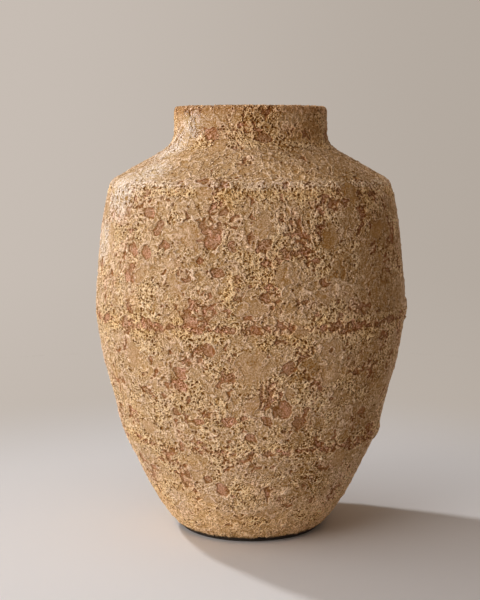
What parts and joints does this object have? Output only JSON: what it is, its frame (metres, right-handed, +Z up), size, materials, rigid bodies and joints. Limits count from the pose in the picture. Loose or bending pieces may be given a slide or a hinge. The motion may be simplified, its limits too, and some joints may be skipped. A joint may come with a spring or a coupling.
{
  "type": "storage jar",
  "caption": "Broad-shouldered ovoid storage jar with a short collar neck and narrow flat foot, finished all over in a cratered matte glaze.",
  "frame": {"origin": "centre of the foot on the floor", "axes": "+Z up the jar's own axis; -Y is the side the picture shows"},
  "size_m": [0.366, 0.366, 0.5],
  "materials": {
    "glaze": "matte, cratered",
    "clay": "matte, bare fired clay",
    "pad": "matte"
  },
  "bodies": {
    "root": {"foot_pad": "pad", "base_slab": "clay", "base_corner_coil": "clay", "lower_wall": "clay", "lower_join_coil": "clay", "middle_wall": "clay", "belly_join_coil": "clay", "upper_wall": "clay", "shoulder_join_coil": "clay", "shoulder_section": "clay", "neck_collar": "clay", "rim_coil": "clay", "crater_glaze": "glaze"}
  },
  "joints": []
}
